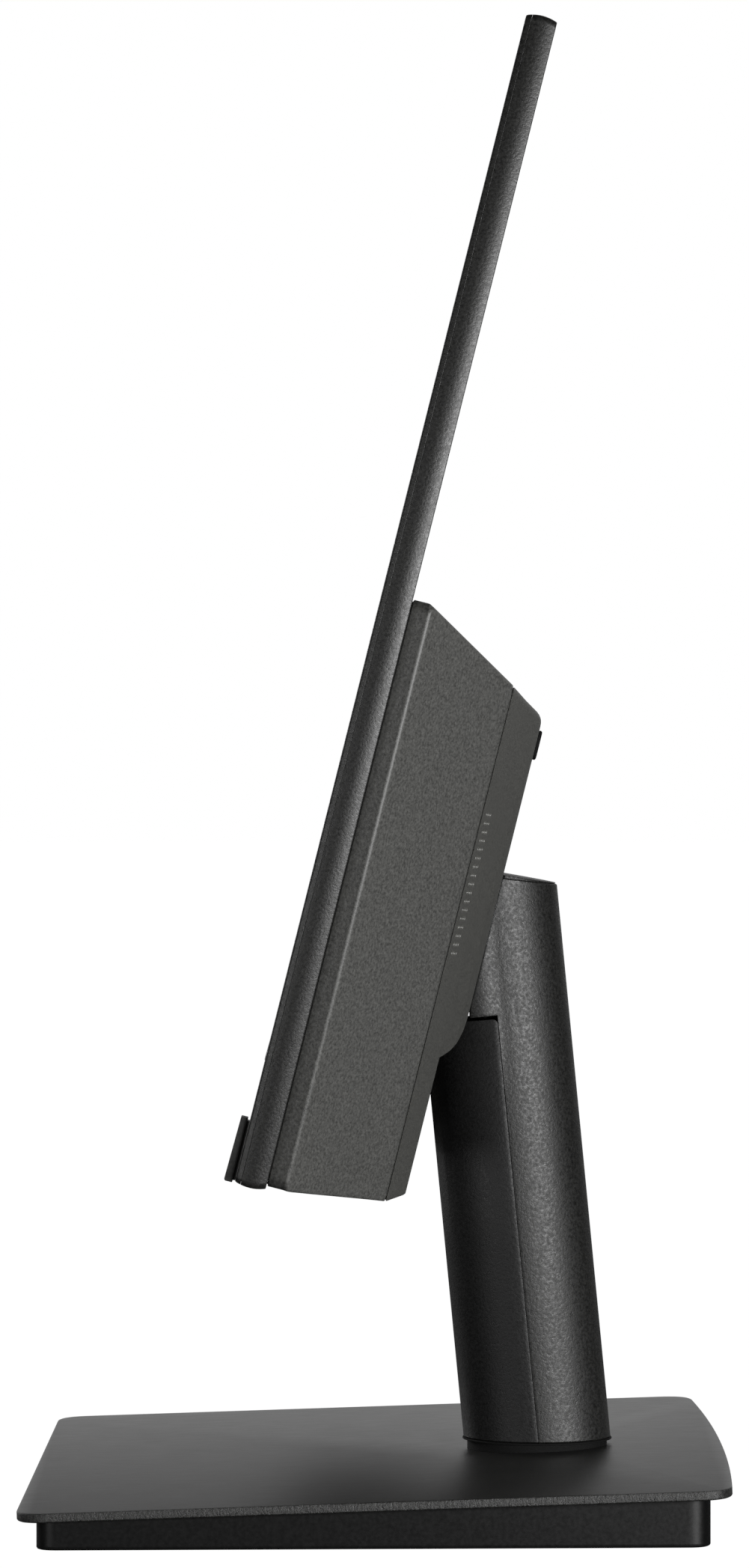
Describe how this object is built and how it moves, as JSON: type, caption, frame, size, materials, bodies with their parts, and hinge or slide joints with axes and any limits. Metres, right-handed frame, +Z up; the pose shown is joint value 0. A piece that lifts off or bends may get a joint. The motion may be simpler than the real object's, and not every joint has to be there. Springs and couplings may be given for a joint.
{
  "type": "all in one desktop computer",
  "caption": "Desktop computer with the computer housing built behind a thin wide screen, tilting on a leaning column over a flat weighted base.",
  "frame": {"origin": "on the desk, under the middle of the bounding box", "axes": "+Z up, the screen faces -Y, +X along the screen's width"},
  "size_m": [0.49, 0.2051, 0.414],
  "materials": {
    "black_plastic": "fine textured, satin",
    "dark_plastic": "matte",
    "gloss_plastic": "glossy",
    "screen_glass": "dark, anti-glare",
    "diffuser": "matt white",
    "steel": "zinc plated",
    "painted_steel": "hairline brushed, dark coat",
    "dark_steel": "black oxide",
    "copper": "copper, satin",
    "aluminium": "satin",
    "circuit_board": "solder mask",
    "rubber": "matte"
  },
  "bodies": {
    "stand": {"column_rear_shell": "black_plastic", "column_front_cover": "dark_plastic", "column_top_cap": "black_plastic", "column_post": "steel", "hinge_fixed_bracket": "dark_steel", "hinge_axle": "steel", "hinge_nut": "steel", "friction_washer_left": "dark_steel", "friction_washer_right": "dark_steel", "base_plate": "painted_steel", "base_tray": "dark_plastic", "base_weight": "dark_steel", "foot_pad_front_left": "rubber", "foot_pad_front_right": "rubber", "foot_pad_rear_left": "rubber", "foot_pad_rear_right": "rubber", "base_screw_front": "steel", "base_screw_rear": "steel", "column_foot_collar": "rubber"},
    "screen": {"front_bezel": "black_plastic", "screen_panel": "screen_glass", "backlight_unit": "diffuser", "panel_back_frame": "steel", "screen_rear_cover": "black_plastic", "front_bumper_left": "rubber", "front_bumper_right": "rubber", "webcam_module": "gloss_plastic", "compute_housing": "black_plastic", "computer_rear_cover": "black_plastic", "rear_bumper_left": "rubber", "rear_bumper_right": "rubber", "power_switch_board": "circuit_board", "tilt_bracket": "steel", "bracket_screw_1": "dark_steel", "bracket_screw_2": "dark_steel", "bracket_screw_3": "dark_steel", "bracket_screw_4": "dark_steel", "motherboard": "circuit_board", "memory_module": "circuit_board", "solid_state_drive": "circuit_board", "wireless_card": "circuit_board", "processor_cooler_plate": "copper", "heat_pipe": "copper", "fan_housing": "dark_plastic", "fin_stack": "aluminium", "drive_tray": "steel", "storage_drive": "aluminium", "speaker_left": "dark_plastic", "speaker_right": "dark_plastic", "port_board": "circuit_board", "port_plate": "steel", "power_inlet": "dark_plastic", "display_socket": "steel", "usb_sockets_inner": "steel", "usb_sockets_outer": "steel", "network_socket": "steel"},
    "fan": {"fan_impeller": "gloss_plastic"},
    "button": {"power_button": "gloss_plastic"},
    "shutter": {"webcam_shutter": "gloss_plastic"}
  },
  "joints": [
    {"name": "screen_tilt", "type": "hinge", "parent": "stand", "child": "screen", "pos_m": [0, 0.03985, 0.17065], "axis": [1, 0, 0], "range_deg": [-11, 19]},
    {"name": "fan_spin", "type": "hinge", "parent": "screen", "child": "fan", "pos_m": [0.086, 0.00692, 0.1927], "axis": [0, 0.9701, -0.2426], "continuous": true},
    {"name": "power_press", "type": "slide", "parent": "screen", "child": "button", "axis": [0, 0.2426, 0.9701], "range_m": [0, 0.0006], "stiffness_N_per_m": 1500, "springref_m": -0.0004},
    {"name": "shutter_slide", "type": "slide", "parent": "screen", "child": "shutter", "axis": [1, 0, 0], "range_m": [0, 0.008]}
  ]
}
